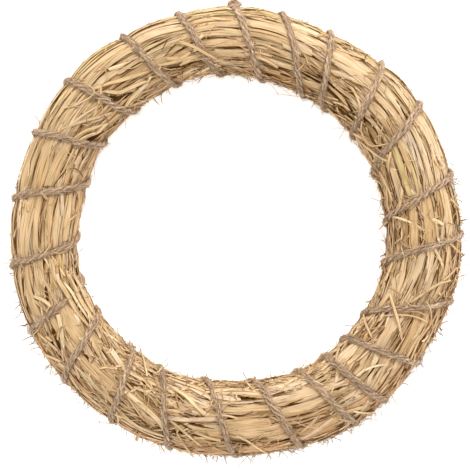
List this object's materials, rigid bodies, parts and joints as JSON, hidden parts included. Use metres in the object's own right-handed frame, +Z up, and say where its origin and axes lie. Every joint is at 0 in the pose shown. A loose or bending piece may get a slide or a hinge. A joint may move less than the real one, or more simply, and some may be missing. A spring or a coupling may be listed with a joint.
{
  "type": "straw wreath",
  "caption": "Round wreath of packed straw, bound all the way round with one helical jute twine, with a knot at the rim and loose straws, lying flat.",
  "frame": {"origin": "the middle of the ring, on the surface that it lies on", "axes": "+Z up, along the ring's axis; +Y towards the twine's knot, the top of the picture"},
  "size_m": [0.3031, 0.3089, 0.0528],
  "materials": {
    "straw": "dry matte straw, pale gold with brown gaps",
    "loose_straw": "dry straw, slightly shiny on its outer skin",
    "jute": "rough twisted jute, matte"
  },
  "bodies": {
    "root": {"straw_ring": "straw", "jute_twine": "jute", "twine_knot": "jute", "loose_straw_01": "loose_straw", "loose_straw_02": "loose_straw", "loose_straw_03": "loose_straw", "loose_straw_04": "loose_straw", "loose_straw_05": "loose_straw", "loose_straw_06": "loose_straw", "loose_straw_07": "loose_straw", "loose_straw_08": "loose_straw", "loose_straw_09": "loose_straw", "loose_straw_10": "loose_straw", "loose_straw_11": "loose_straw", "loose_straw_12": "loose_straw", "loose_straw_13": "loose_straw", "loose_straw_14": "loose_straw", "loose_straw_15": "loose_straw", "loose_straw_16": "loose_straw", "loose_straw_17": "loose_straw", "loose_straw_18": "loose_straw", "loose_straw_19": "loose_straw", "loose_straw_20": "loose_straw", "loose_straw_21": "loose_straw", "loose_straw_22": "loose_straw", "loose_straw_23": "loose_straw"}
  },
  "joints": []
}
